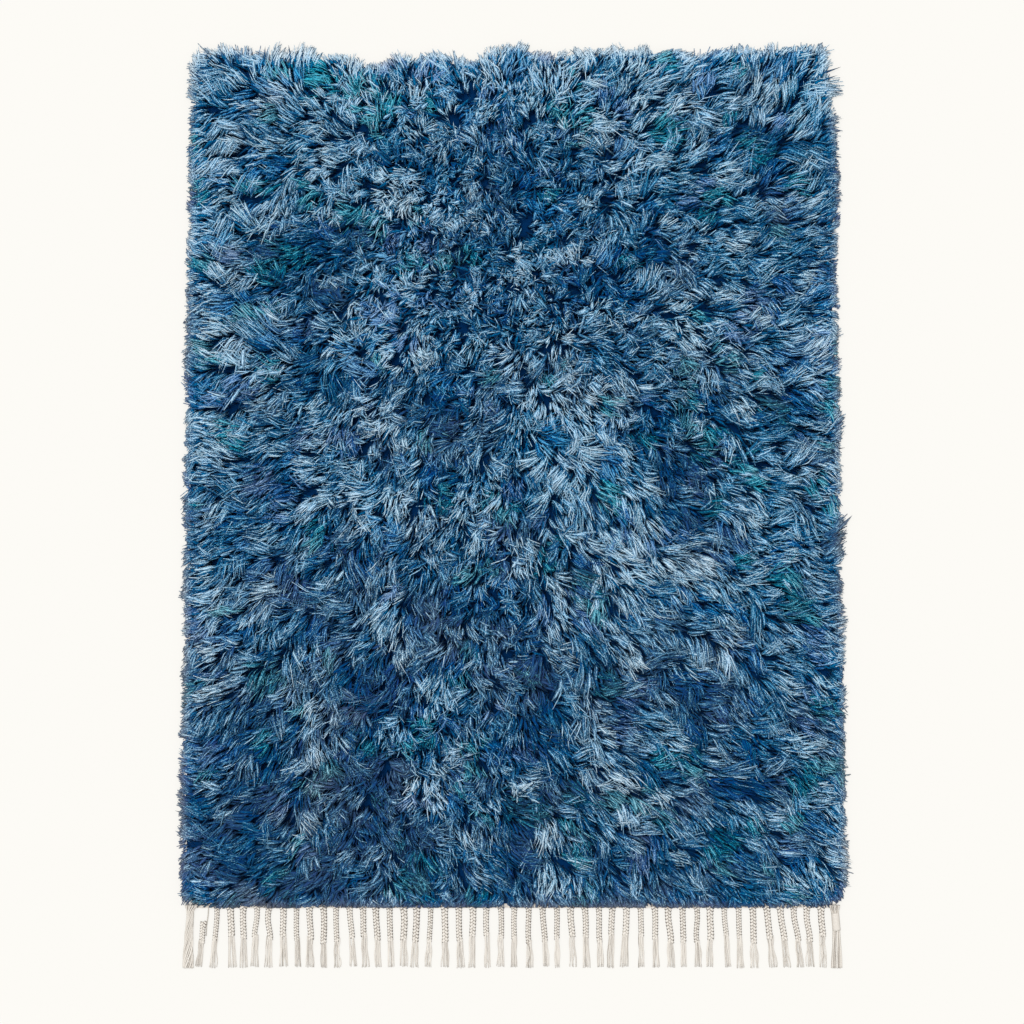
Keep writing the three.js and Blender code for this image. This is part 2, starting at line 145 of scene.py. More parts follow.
# Areas that are lighter or darker as a whole
TONE_AREAS = [
    (0, 101, 120, 9, 56), (0, 70, 150, 50, 8), (0, -75, 150, 40, -8), (-55, 70, 5, 5, 24),
    (-45, 73, 5, 4, 22), (-24, 67, 8, 6, 60), (14, 89, 5, 3, 65), (22, 99, 6, 3, -66),
    (32, 78, 6, 5, 42), (24, -24, 5, 4, 66), (-29, 46, 6, 9, 52), (-29, 37, 7, 5, 130),
    (-10, 44, 4, 6, 30), (44, 40, 8, 5, 20), (67, 30, 5, 7, 38), (14, 19, 9, 7, 75),
    (13, 6, 5, 5, 80), (25, 5, 8, 5, 44), (-7, -1, 4, 8, 56), (-70, 16, 4, 5, 30),
    (-30, 1, 8, 6, 50), (65, 7, 5, 4, 28), (25, -13, 8, 5, 110), (40, -17, 7, 7, 34),
    (57, -7, 6, 6, 36), (1, -11, 2, 9, 20), (-58, 30, 5, 4, 40), (-28, 68, 5, 4, 60),
    (46, -35, 6, 4, 40), (-30, -4, 6, 4, 60), (20, -54, 8, 8, 32), (36, -56, 4, 5, 22),
    (27, -68, 9, 5, 50), (10, -81, 4, 7, 50), (62, -74, 4, 4, 20), (-70, -24, 5, 4, 32),
    (-18, -87, 5, 3, -25), (-1, 80, 8, 11, -24), (3, 69, 7, 3, -28), (-18, 78, 6, 4, -62),
    (36, 66, 12, 3, -24), (60, 83, 9, 3, -28), (15, 84, 5, 3, -20), (-38, 61, 12, 5, -40),
    (-58, 57, 6, 5, -42), (-44, 47, 7, 5, -36), (-8, 79, 5, 4, 38), (22, 48, 7, 4, -42),
    (34, 57, 5, 4, -52), (-18, 20, 9, 7, -42), (-17, 4, 4, 7, -42), (34, 18, 5, 12, -40),
    (3, 58, 4, 4, 36), (61, 20, 5, 7, -50), (3, 1, 4, 7, -48), (42, -3, 6, 3, -34),
    (-59, -45, 4, 3, -26), (-17, -25, 5, 5, -58), (14, -15, 4, 4, -46), (-2, -31, 7, 5, -20),
    (5, -41, 4, 7, -42), (-34, -44, 8, 6, -62), (-32, -64, 7, 8, -52), (-59, -66, 5, 8, -46),
    (24, -41, 12, 3, -24), (32, -63, 5, 3, -28), (53, -65, 6, 4, -54), (4, -56, 4, 10, -20),
    (-41, -87, 12, 5, -60), (-67, -80, 10, 10, -34), (1, -79, 5, 10, -58), (19, -79, 4, 3, -20),
    (34, -85, 9, 4, -20), (-52, 12, 4, 8, -22), (-34, 89, 7, 4, 28), (3, 89, 4, 3, -36),
    (66, 90, 12, 4, 22), (44, 79, 5, 3, 28), (-7, 58, 4, 4, -30), (-69, 38, 5, 14, 36),
    (-44, 28, 9, 4, -42), (-49, 38, 4, 4, -26), (-18, 42, 3, 8, -36), (13, 38, 4, 4, 32),
    (70, 38, 7, 4, 34), (54, 22, 4, 8, 38), (-28, 17, 5, 4, 46), (39, 7, 8, 4, -42),
    (-28, -25, 4, 5, 34), (-18, -45, 4, 5, 32), (-47, -62, 3, 8, 32), (-7, -66, 4, 4, -38),
    (-28, 79, 4, 3, -28), (13, -4, 4, 4, 32), (-48, 2, 4, 8, 26), (65, -77, 4, 3, -26),
    (3, -66, 3, 4, 34), (3, -24, 3, 4, -32), (-38, -77, 5, 3, -30), (34, -35, 5, 3, -22),
    (40, -25, 7, 4, -42), (44, -50, 4, 7, -32), (14, -64, 4, 5, -62), (-29, 100, 5, 3, -42),
    (53, 100, 12, 3, -50), (13, -34, 4, 3, 30), (24, 37, 5, 4, -34), (-7, 100, 5, 4, 70),
    (-54, 100, 10, 3, 40), (-66, 81, 10, 7, 32), (13, 69, 4, 3, 26), (34, 46, 5, 3, 30),
    (-64, -24, 5, 5, 26), (34, 37, 5, 3, 62), (24, 21, 4, 6, 25), (45, 17, 3, 4, 20),
    (-38, 17, 4, 4, 22), (13, 58, 4, 3, 34), (55, 5, 5, 5, 22), (-8, -13, 3, 5, 60),
    (66, -14, 5, 4, 36), (-27, -55, 4, 4, 36), (-18, -64, 5, 6, 48), (24, -74, 5, 3, 20),
    (74, -72, 5, 14, 42), (54, -55, 5, 3, -36), (10, 96, 4, 4, -34), (-57, 86, 5, 4, -34),
    (-64, 104, 4, 4, 34), (17, 30, 4, 4, -34), (-69, 95, 4, 4, -32), (-23, -11, 4, 4, 14),
    (72, 72, 4, 5, -30), (73, -65, 4, 5, -28), (-73, 63, 4, 5, 28), (51, 24, 4, 4, -27),
    (-36, 34, 4, 4, 27), (27, 97, 4, 4, -27), (-31, 14, 4, 4, 27), (-47, 73, 4, 4, 26),
    (52, 97, 4, 4, -26), (-54, -50, 4, 4, -26), (-35, -51, 4, 4, -24), (-16, -16, 4, 4, -22),
    (-11, -90, 4, 4, 26), (-34, -16, 4, 4, -24), (20, 3, 4, 4, 26), (50, -42, 4, 4, -26),
    (5, 104, 4, 4, 26), (-41, -41, 4, 4, 26), (74, 33, 4, 5, 25), (49, 35, 4, 4, 25),
    (-25, 95, 4, 4, -25), (29, 9, 4, 4, -25),
]
SEEN_AHEAD = 0.034
TONE_MIDDLE = 0.685
TONE_SWING = 0.22
TONE_CHANCE = 0.08
TONE_RANGE = (0.22, 1.15)

# Noise over the rug, as the size of its patches and its layer
TONE_NOISE = (0.13, 3.1)
DYE_NOISE = (0.09, 9.7)
KIND_NOISE = (0.30, 17.3)

# The wool's plies and their pitch, where its colours stand from dark to light, and how the painted
# highlight and shade follow crest and twist, and the fibres vary at random, as factor and shift
WOOL_TWIST = (2, 0.012)
WOOL_STOPS = (0.05, 0.38, 0.67, 0.97)
CREST_LIGHT = (0.62, 0.40)
FIBRE_LIGHT = (2.4, -1.19)
TWIST_LIGHT = (0.60, 0.60)
WOOL_SPECULAR = 0.02
SHEEN_TINT = (0.35, 0.65, 1.0, 1.0)

# The undyed warps, from painted shade in their grooves to their crests
CREAM_STOPS = ((0.08, (78, 66, 59)), (0.42, (166, 157, 146)), (0.88, (228, 222, 213)))

# How much one yarn's lightness differs from the next, up the rug; it goes with the yarn's height, so
# lower yarns carry painted shade
STRAND_CONTRAST = {-0.92: 0.28, -0.45: 0.26, 0.0: 0.25, 1.06: 0.24}

# Where the yarns stand up and tangle, apart from where the lie turns over itself
TANGLED_AREAS = [
    (-3, 64, 29, 33, 75), (-10, 8, 14, 24, 50), (0, -20, 12, 20, 25), (-38, 62, 16, 30, 30),
    (-36, 5, 15, 20, 25), (-34, -62, 18, 28, 35), (-12, -60, 20, 30, 30), (-25, 92, 15, 10, 30),
    (36, 18, 12, 10, 30), (38, 45, 18, 35, 22),
]

# The pile: yarn ends in tufts, tufts in wisps, wisps in locks
TUFT_PITCH = 0.0125
LOCK_PITCH = 0.042
WISP_PITCH = 0.023
BUNDLE_SINK = 0.0015
ROOT_LEVEL = 0.003
SHORTEST_TOP = 0.042
LONGEST_TOP = 0.062
PILE_HEIGHT = 0.034
STRAND_LIFT = 0.0022
LOCK_LIFT = 0.005
WISP_LIFT = 0.0030
LOCK_EDGE_DROP = 0.006
WISP_EDGE_DROP = 0.0030
HIGHEST = 0.050
INNER_SHORT = 1.6
ROOT_SCATTER = 0.0045
COMB_PITCH = 0.0046
ROOT_MARGIN = 0.010
OUTWARD_WITHIN = 0.055
RIM_WIDTH = 0.045
RAGGED_TIPS = 0.0045
RAGGED_MORE = ((0, 102, 200, 6, 90), (-75, 20, 5, 150, 60))
CORNER_SOFTNESS = 0.014
RIM_DULL_WITHIN = 0.024
RIM_DULLNESS = 0.55
# Painted shade at the rim: how much of the tone is lost at the tip line, up the rug
RIM_SHADE = {-0.919: 0.95, -0.895: 0.70, -0.840: 0.38, 0.980: 0.34, 1.020: 0.0}
RIM_RISE = ((-0.05, 0.004), (0.0, 0.008), (0.02, 0.019), (0.06, 0.032), (0.12, 0.050))
FRINGE_RISE = ((-0.02, 0.010), (0.0, 0.012), (0.03, 0.025), (0.07, 0.036), (0.12, 0.050))

# How far yarns turn and bend aside and how steep they stand: where combed, and added where tangled
LOCK_TURN = (0.12, 0.48)
TUFT_TURN = (0.10, 0.95)
YARN_TURN = (0.090, 0.22)
YARN_CURL = (0.0035, 0.006)
WISP_CURL = (0.007, 0.009)
STEEPNESS = (0.12, 0.75)
STEEPEST = 0.95
WIDEST = 1.4
THICKNESS_RANGE = (0.8, 1.2)

# The kinds of yarn end. Density: anywhere, and added where the pile tangles. Levels, from root to
# tip: share of the length, and of the height when combed and when upright.
Kind = namedtuple("Kind", "count radius density taper pointed strands levels")
BOTH_ENDS = ("root", "tip")
KINDS = {
    "long": Kind(
        44000, 0.0015, (1.15, -0.75), (1, 1, 0.66), ("root",), 1,
        levels=((0, 0, 0), (0.54, 1, 0.72), (1, 0.95, 1.04)),
    ),
    "short": Kind(
        31000, 0.0013, (0.35, 1.3), 1, BOTH_ENDS, 1,
        levels=((0, 0, 0), (0.66, 1, 0.86), (1, 0.97, 1.04)),
    ),
    "bundle": Kind(
        15500, 0.0042, (0.8, 0.4), 1, BOTH_ENDS, 3,
        levels=((0, 0, 0), (0.42, 0.98, 0.62), (0.80, 1, 0.92), (1, 0.93, 1.02)),
    ),
    "inner": Kind(
        12000, 0.0050, (1, 0), 1, BOTH_ENDS, 3,
        levels=((0, 0, 0), (0.5, 0.95, 0.95), (1, 1, 1)),
    ),
}

# The ground: a flat weave under the pile
GROUND_MARGIN = 0.012
GROUND_THICKNESS = 0.003
KNOT_BLUES = ((34, 80, 122), (14, 48, 90))
KNOT_SIZE = (0.0095, 0.0080)
WEFT_CREAM = (206, 196, 178)
WEFT_WIDTH = 0.0010

# The fringe: how many braids stand at one pitch, and how far their ends drift sideways, in tenths
# of a millimetre
BRAID_GROUPS = [
    (3, 303, -110), (2, 303, 30), (2, 303, -50), (5, 303, 20), (2, 303, 70), (3, 311, 30),
    (2, 320, -70), (7, 320, 10), (4, 320, 60), (1, 320, 70), (2, 320, -70), (5, 320, 40),
    (1, 320, -30), (3, 320, 80), (3, 313, 160), (3, 313, 70),
]
FIRST_BRAID_X = -0.740
BRAID_WIDTH = 0.0150
BRAID_LENGTH = 0.080
BRAID_PITCH_OVER_WIDTH = 1.4
BRAID_STRAND = 0.20
PLAITED_STRANDS = 3
LOOSE_YARNS = 7
LOOSE_YARN_RADIUS = 0.0015
FRINGE_UNDER_TONE = 0.20

# The locks at the two ends of the fringe aren't plaited: middle and half width, at places along them
FIRST_LOCK = {
    -1.058: (-0.7462, 0.0132), -0.973: (-0.7440, 0.0096), -0.938: (-0.7408, 0.0090),
    -0.926: (-0.7405, 0.0092), -0.912: (-0.7375, 0.0145),
}
LAST_LOCK = {
    -1.058: (0.7386, 0.0132), -0.972: (0.7380, 0.0090), -0.931: (0.7345, 0.0086),
    -0.912: (0.7320, 0.0130),
}
WRAPPING = (-0.931, -0.971)
STEMMED_BRAID_START = -0.951
STEM = (
    (-0.6985, -0.914, 0.0055), (-0.7000, -0.935, 0.0020), (-0.7035, -0.960, 0.0022),
    (-0.7050, -0.984, 0.0030),
)
ANY_PHASE = 6.28
END_LOCK_STRANDS = 13
END_STRAND_RADIUS = 0.0020

# The floor glows a little, so that shadows stay faint; sky and sun give soft light
FLOOR_PAINT = {
    "Base Color": (0.200, 0.195, 0.186, 1.0),
    "Emission Color": (0.729, 0.718, 0.686, 1.0),
    "Emission Strength": 1.0, "Roughness": 1.0, "Specular IOR Level": 0.0,
}
FLOOR_REACH = 6.0
FLOOR_GAP = 0.0005
SKY_STRENGTH = 0.85
SUN_STRENGTH = 1.45
SUN_DEGREES = 28
SUN_FROM = (-0.30, 0.40, 1.0)

# The camera looks straight down from the middle of the photo
CAMERA_HEIGHT = 5.0
CAMERA_MIDDLE = (-0.0046, -0.0137)
VIEW_WIDTH = 2.345
SENSOR_MM = 36.0


def chance(*shape):
    """Random numbers about nought, most within 1 of it."""
    return rng.standard_normal(shape)


def blended(table, at):
    """Values between the rows of a table whose keys rise."""
    keys = np.array(list(table), dtype=float)
    values = np.array(list(table.values()), dtype=float)
    if values.ndim == 1:
        return np.interp(at, keys, values)
    return np.stack([np.interp(at, keys, column) for column in values.T], axis=-1)


def lie_at(x, y):
    """East and north parts of the pile's direction, shorter where the pile stands up."""
    angles = {key: np.radians(row) for key, row in LIE_UP.items()}
    parts = []
    for turn in (np.cos, np.sin):
        rows = blended({key: turn(row) for key, row in angles.items()}, y)
        place = np.clip(np.interp(x, LIE_ACROSS, range(len(LIE_ACROSS))), 0, len(LIE_ACROSS) - 1.001)
        column = place.astype(int)
        share = place - column
        here = np.arange(len(x))
        parts.append(rows[here, column] * (1 - share) + rows[here, column + 1] * share)
    return parts


def seen(x, y):
    """Where the pile rooted at each point shows: some way along its lie."""
    east, north = lie_at(x, y)
    return x + SEEN_AHEAD * east, y + SEEN_AHEAD * north


def inside(x, y):
    """How far a point lies within the line of the tips, with soft corners."""
    left, right = blended(SIDE_REACH, y).T
    plain_end = PLAIN_END - blended(PLAIN_END_SHORT, x)
    fringe_end = PILE_END + blended(FRINGE_END_SHORT, x)
    gaps = np.stack([x - left, right - x, plain_end - y, y - fringe_end])
    closest = gaps.min(axis=0)
    crowding = np.exp(-(gaps - closest) / CORNER_SOFTNESS).sum(axis=0)
    return closest - CORNER_SOFTNESS * np.log(crowding)


def outward(x, y):
    """East and north parts of the way to the nearest rim."""
    step = 0.002
    east = inside(x - step, y) - inside(x + step, y)
    north = inside(x, y - step) - inside(x, y + step)
    size = np.hypot(east, north) + 1e-9
    return east / size, north / size


def away(area, x, y):
    """The square of each point's distance from an area's middle, where its half lengths are 1."""
    middle_x, middle_y, half_x, half_y = np.array(area) / 100
    return ((x - middle_x) / half_x) ** 2 + ((y - middle_y) / half_y) ** 2


def areas_at(areas, x, y):
    """The sum of round-edged areas at each point."""
    total = np.zeros(len(x))
    for *area, change in areas:
        total += change / 100 * np.exp(-away(area, x, y))
    return total


def scattered(pitch, margin):
    """Points on an uneven grid, no nearer to the tip line than the margin."""
    xs = np.arange(-0.77, 0.77, pitch)
    ys = np.arange(PILE_END, PLAIN_END, pitch)
    x, y = (grid.ravel() for grid in np.meshgrid(xs, ys))
    x = x + rng.uniform(-0.5, 0.5, x.size) * pitch
    y = y + rng.uniform(-0.5, 0.5, y.size) * pitch
    kept = inside(x, y) > margin
    return x[kept], y[kept]


def noise_at(x, y, size, layer):
    """Smooth noise with features of about that size; each layer has its own."""
    return np.array([noise.noise(Vector((a / size, b / size, layer))) for a, b in zip(x, y)])


def tube_template(levels, sides, points):
    """One tube's faces: vertex numbers, place around and along it, and place in its bake cell.
    Points tells for each level whether the tube comes to a point there."""
    cap = 0.1
    starts = np.concatenate([[0], np.cumsum([1 if point else sides for point in points])])

    def corner(level, place, side):
        around = (side + 0.5 if points[level] else place) / sides
        along = level / (levels - 1)
        number = starts[level] + (0 if points[level] else place % sides)
        return number, (around, along), (around, cap + (1 - 2 * cap) * along)

    faces = []
    for level in range(levels - 1):
        for side in range(sides):
            low = [corner(level, place, side) for place in (side, side + 1)]
            high = [corner(level + 1, place, side) for place in (side + 1, side)]
            if not points[level]:
                faces.append((low[0], low[1], high[0]))
            if not points[level + 1]:
                faces.append((low[0], high[0], high[1]))
    for level, base in ((0, 0.0), (levels - 1, 1 - cap)):
        if points[level]:
            continue
        ring = []
        for side in range(sides):
            turn = 2 * math.pi * side / sides
            place = (0.5 + 0.45 * math.cos(turn), base + cap * (0.5 + 0.45 * math.sin(turn)))
            ring.append((*corner(level, side, side)[:2], place))
        for side in range(1, sides - 1):
            fan = (ring[0], ring[side], ring[side + 1])
            faces.append(fan if level else fan[::-1])
    numbers, wrap, cell = (
        np.array([[one[part] for one in face] for face in faces]) for part in range(3)
    )
    return starts[-1], numbers, wrap, cell


def tubes(paths, radii, sides=3, pointed=(), flat=1.0, strands=1):
    """Closed tubes along paths of equal length (tubes, levels, 3), as arrays for a mesh. Pointed
    names the ends that come to a point; flat is the height of the section over its width; the
    wool's material draws that many strands around each tube."""
    number, levels, _ = paths.shape
    points = ["root" in pointed, *[False] * (levels - 2), "tip" in pointed]
    tangent = np.gradient(paths, axis=1)
    tangent /= np.linalg.norm(tangent, axis=2, keepdims=True)
    heading = paths[:, -1] - paths[:, 0]
    side = np.stack([-heading[:, 1], heading[:, 0], np.zeros(number)], axis=1)
    side /= np.linalg.norm(side, axis=1, keepdims=True) + 1e-9
    side = np.repeat(side[:, None], levels, axis=1)
    side -= (side * tangent).sum(axis=2, keepdims=True) * tangent
    side /= np.linalg.norm(side, axis=2, keepdims=True) + 1e-9
    up = np.cross(tangent, side)
    turns = math.pi / 2 + 2 * math.pi * np.arange(sides) / sides
    rings = []
    for level in range(levels):
        if points[level]:
            rings.append(paths[:, level, None])
            continue
        radius = radii[:, level, None, None]
        spoke = np.cos(turns)[:, None] * side[:, level, None]
        spoke = spoke + flat * np.sin(turns)[:, None] * up[:, level, None]
        rings.append(paths[:, level, None] + radius * spoke)
    vertices = np.concatenate(rings, axis=1)
    count, faces, wrap, cell = tube_template(levels, sides, points)
    lengths = np.linalg.norm(np.diff(paths, axis=1), axis=2).sum(axis=1)
    scale = np.column_stack([np.full(number, strands), lengths])
    return dict(
        vertices=vertices.reshape(-1, 3), per_level=[ring.shape[1] for ring in rings],
        faces=(faces + count * np.arange(number)[:, None, None]).reshape(-1, 3),
        wrap=(scale[:, None, None] * wrap).reshape(-1, 2), cell=cell, number=number,
    )


def in_cells(cell, number, first, columns, rows):
    """Each tube's corners in a cell of its own, in rows over the unit square."""
    margin = 0.1
    places = first + np.arange(number)
    corner = np.column_stack([places % columns, places // columns])[:, None, None]
    shrunk = margin / 2 + (1 - margin) * cell
    return ((corner + shrunk) / (columns, rows)).reshape(-1, 2)


def placed(name, data):
    """A new object in the scene."""
    made = bpy.data.objects.new(name, data)
    bpy.context.scene.collection.objects.link(made)
    return made


def mesh_object(name, vertices, faces, maps, material, values=()):
    """An object from arrays of triangles, with UV maps and values, one for each vertex."""
    mesh = bpy.data.meshes.new(name)
    mesh.vertices.add(len(vertices))
    mesh.vertices.foreach_set("co", np.asarray(vertices, np.float32).ravel())
    mesh.loops.add(faces.size)
    mesh.loops.foreach_set("vertex_index", faces.astype(np.int32).ravel())
    mesh.polygons.add(len(faces))
    mesh.polygons.foreach_set("loop_start", np.arange(0, faces.size, 3, dtype=np.int32))
    for map_name, places in maps.items():
        layer = mesh.uv_layers.new(name=map_name, do_init=False)
        layer.uv.foreach_set("vector", np.asarray(places, np.float32).ravel())
    for value_name, numbers in dict(values).items():
        attribute = mesh.attributes.new(value_name, "FLOAT", "POINT")
        attribute.data.foreach_set("value", np.asarray(numbers, np.float32))
    mesh.update(calc_edges=True)
    mesh.validate()
    mesh.shade_smooth()
    mesh.materials.append(material)
    return placed(name, mesh)


def tube_object(name, sets, material):
    """Sets of tubes as one object; each has named values, one for each level of each tube."""
    total = sum(made["number"] for made, _ in sets)
    columns = math.ceil(math.sqrt(total))
    rows = math.ceil(total / columns)
    value_names = list(sets[0][1])
    parts = {key: [] for key in ("vertices", "faces", "wrap", "cells", *value_names)}
    first = count = 0
    for made, values in sets:
        parts["vertices"].append(made["vertices"])
        parts["faces"].append(made["faces"] + count)
        parts["wrap"].append(made["wrap"])
        parts["cells"].append(in_cells(made["cell"], made["number"], first, columns, rows))
        for key in value_names:
            parts[key].append(np.repeat(values[key], made["per_level"], axis=1).ravel())
        first += made["number"]
        count += len(made["vertices"])
    joined = {key: np.concatenate(arrays) for key, arrays in parts.items()}
    maps = {"OFBake": joined["cells"], "yarn": joined["wrap"]}
    values = {key: joined[key] for key in value_names}
    return mesh_object(name, joined["vertices"], joined["faces"], maps, material, values)


def linear(rgb):
    """A colour as the eye sees it, 0 to 255, as Blender's linear one."""
    share = np.array(rgb) / 255
    return (*np.where(share <= 0.04045, share / 12.92, ((share + 0.055) / 1.055) ** 2.4), 1.0)


class Nodes:
    """A material's nodes, made one by one and wired as they are made."""

    def __init__(self, name):
        self.material = bpy.data.materials.new(name)
        self.material.use_nodes = True
        self.tree = self.material.node_tree
        self.shader = self.tree.nodes["Principled BSDF"]

    def add(self, kind, links=(), **settings):
        node = self.tree.nodes.new("ShaderNode" + kind)
        for key, value in settings.items():
            setattr(node, key, value)
        for socket, source in dict(links).items():
            if isinstance(source, bpy.types.NodeSocket):
                self.tree.links.new(source, node.inputs[socket])
            else:
                node.inputs[socket].default_value = source
        return node

    def math(self, operation, first, second=0.0, third=0.0, clamp=False):
        node = self.add("Math", {0: first, 1: second, 2: third}, operation=operation)
        node.use_clamp = clamp
        return node.outputs[0]

    def scaled(self, first, factor, shift):
        return self.math("MULTIPLY_ADD", first, factor, shift)

    def ramp(self, factor, stops):
        """Colours, each at its place between 0 and 1, blended by a factor."""
        node = self.add("ValToRGB", {"Fac": factor})
        elements = node.color_ramp.elements
        while len(elements) < len(stops):
            elements.new(0.5)
        for element, (place, colour) in zip(elements, stops):
            element.position = place
            element.color = linear(colour)
        return node.outputs["Color"]

    def value(self, name):
        """One of the mesh's own values."""
        return self.add("Attribute", attribute_name=name).outputs["Fac"]

    def place(self):
        """Where each point lies on the object, in metres."""
        return self.add("TexCoord").outputs["Object"]

    def speckle(self, scale):
        """Noise with that many features to a metre."""
        return self.add("TexNoise", {"Vector": self.place(), "Scale": scale}).outputs["Fac"]

    def shade(self, colour, factor):
        """The colour made darker or lighter by a factor about one."""
        grey = self.add("CombineColor", {"Red": factor, "Green": factor, "Blue": factor})
        inputs = {"Factor": 1.0, 6: colour, 7: grey.outputs[0]}
        return self.add("Mix", inputs, data_type="RGBA", blend_type="MULTIPLY").outputs[2]

    def set_shader(self, values):
        for name, value in values.items():
            self.shader.inputs[name].default_value = value

    def finish(self, colour, height, depth, roughness, sheen, strength=0.5):
        """The material with its colour, its sheen and a small relief."""
        self.set_shader({
            "Roughness": roughness,
            "Sheen Weight": sheen,
            "Sheen Tint": SHEEN_TINT,
            "Specular IOR Level": WOOL_SPECULAR,
        })
        bump = self.add("Bump", {"Height": height, "Distance": depth, "Strength": strength})
        self.tree.links.new(colour, self.shader.inputs["Base Color"])
        self.tree.links.new(bump.outputs[0], self.shader.inputs["Normal"])
        return self.material


def yarn_wrap(nodes, plies, pitch):
    """From a yarn's map: from 1 on top of it to -1 underneath, and the height of its plied twist."""
    wrap = nodes.add("UVMap", uv_map="yarn")
    split = nodes.add("SeparateXYZ", {0: wrap.outputs[0]})
    around = nodes.math("MULTIPLY", split.outputs["X"], 2 * math.pi)
    turn = nodes.scaled(split.outputs["Y"], 1 / pitch, split.outputs["X"])
    phase = nodes.math("MULTIPLY", turn, math.pi * plies)
    return nodes.math("COSINE", around), nodes.math("ABSOLUTE", nodes.math("SINE", phase))


def pile_material(name, colours):
    """Dyed wool, with painted shade at the roots and flanks and between the plies, and painted
    highlight at the crests and tips.
    """
    nodes = Nodes(name)
    top, twist = yarn_wrap(nodes, *WOOL_TWIST)
    # Painted highlight on each yarn's top, painted shade on its flanks and underside
    crest = nodes.scaled(top, 0.5, 0.5)
    flank = nodes.scaled(crest, *CREST_LIGHT)
    light = nodes.math("MULTIPLY", nodes.value("tone"), flank)
    uneven = nodes.scaled(nodes.speckle(380.0), *FIBRE_LIGHT)
    light = nodes.math("ADD", light, uneven, clamp=True)
    colour = nodes.ramp(light, [*zip(WOOL_STOPS, colours)])
    dye = {"Saturation": nodes.value("rich"), "Color": colour}
    colour = nodes.add("HueSaturation", dye).outputs[0]
    # Painted shade in the grooves between the plies of the twist
    shade = nodes.scaled(twist, *TWIST_LIGHT)
    return nodes.finish(nodes.shade(colour, shade), twist, depth=0.0005, roughness=0.75, sheen=0.05)


def cream_material(name, plies, pitch, ridge=1.0):
    """Undyed warp yarn: warm off-white, with painted shade in grey-beige in its grooves and on its
    flanks, and painted highlight on its crests.
    """
    nodes = Nodes(name)
    tone = nodes.value("tone")
    top, twist = yarn_wrap(nodes, plies, pitch)
    crest = nodes.scaled(nodes.math("ABSOLUTE", top), 0.5, 0.5)
    # Underneath each yarn one even tone takes the place of its own, which holds the braids' painted
    # shade at their crossings
    below = nodes.math("LESS_THAN", top, 0.0)
    tone = nodes.scaled(below, nodes.math("SUBTRACT", FRINGE_UNDER_TONE, tone), tone)
    light = nodes.scaled(nodes.speckle(400.0), 0.20, -0.10)
    # Painted highlight on the top and underside of each yarn, painted shade on its flanks; the twist
    # adds painted highlight
    light = nodes.scaled(nodes.math("POWER", crest, ridge), 0.62, light)
    light = nodes.scaled(twist, 0.12, light)
    light = nodes.math("ADD", light, tone, clamp=True)
    return nodes.finish(nodes.ramp(light, CREAM_STOPS), twist, depth=0.0006, roughness=0.85, sheen=0.10)


def ground_material():
    """The flat weave: rows of blue knots between cream wefts below; above, the packed blue roots, dark
    navy as painted shade under the pile.
    """
    nodes = Nodes("ground_weave")
    place = nodes.place()
    bricks = {
        "Vector": place,
        "Color1": linear(KNOT_BLUES[0]),
        "Color2": linear(KNOT_BLUES[1]),
        "Mortar": linear(WEFT_CREAM),
        "Scale": 1.0,
        "Mortar Size": WEFT_WIDTH,
        "Mortar Smooth": 0.4,
        "Brick Width": KNOT_SIZE[0],
        "Row Height": KNOT_SIZE[1],
    }
    knots = nodes.add("TexBrick", bricks, offset=0.0)
    mottle = nodes.scaled(nodes.speckle(9.0), 0.8, 0.6)
    weave = nodes.shade(knots.outputs["Color"], mottle)
    level = nodes.add("SeparateXYZ", {0: place}).outputs["Z"]
    above = nodes.math("GREATER_THAN", level, GROUND_THICKNESS * 0.9)
    # The top: packed roots, darkened as painted shade
    inputs = {"Factor": above, 6: weave, 7: linear(ROOTS_IN_SHADE)}
    side = nodes.add("Mix", inputs, data_type="RGBA")
    height = nodes.math("SUBTRACT", 1.0, knots.outputs["Fac"])
    return nodes.finish(side.outputs[2], height, depth=0.001, strength=0.8, roughness=0.95, sheen=0.1)


def make_locks():
    """The locks: their middles, and what their yarns share."""
    x, y = scattered(LOCK_PITCH, 0.0)
    number = x.size
    tone = TONE_MIDDLE + TONE_SWING * noise_at(x, y, *TONE_NOISE) + TONE_CHANCE * chance(number)
    tone += areas_at(TONE_AREAS, *seen(x, y))
    plain = np.clip(((tone - 0.085 + 0.07 * chance(number)) * PLAIN_STEPS).astype(int), 0, PALE)
    plain[(plain == PALE) & (rng.random(number) < 0.5)] = MIST
    dye = noise_at(x, y, *DYE_NOISE) + 0.25 * chance(number)
    kind = noise_at(x, y, *KIND_NOISE) + 0.3 * chance(number)
    accent = np.where(kind < TEAL_BELOW, DYES.index("teal"), DYES.index("cobalt"))
    accent[dye <= ACCENT_ABOVE] = NO_ACCENT
    accent[dye < VIOLET_BELOW] = DYES.index("violet")
    return dict(
        x=x, y=y, plain=plain, accent=accent, tone=np.clip(tone, *TONE_RANGE), turn=chance(number),
        lift=rng.uniform(-1, 1, number), pinch=rng.uniform(-0.25, 0.70, number),
        steep=rng.uniform(-0.20, 0.30, number), curl=0.018 * chance(number),
        ragged=rng.uniform(-0.8, 1, number),
    )


def nearest(x, y, locks):
    """For each point, the number of the lock or wisp whose middle is nearest."""
    tree = kdtree.KDTree(locks["x"].size)
    for number, (a, b) in enumerate(zip(locks["x"], locks["y"])):
        tree.insert((a, b, 0), number)
    tree.balance()
    return np.array([tree.find((a, b, 0))[1] for a, b in zip(x, y)])


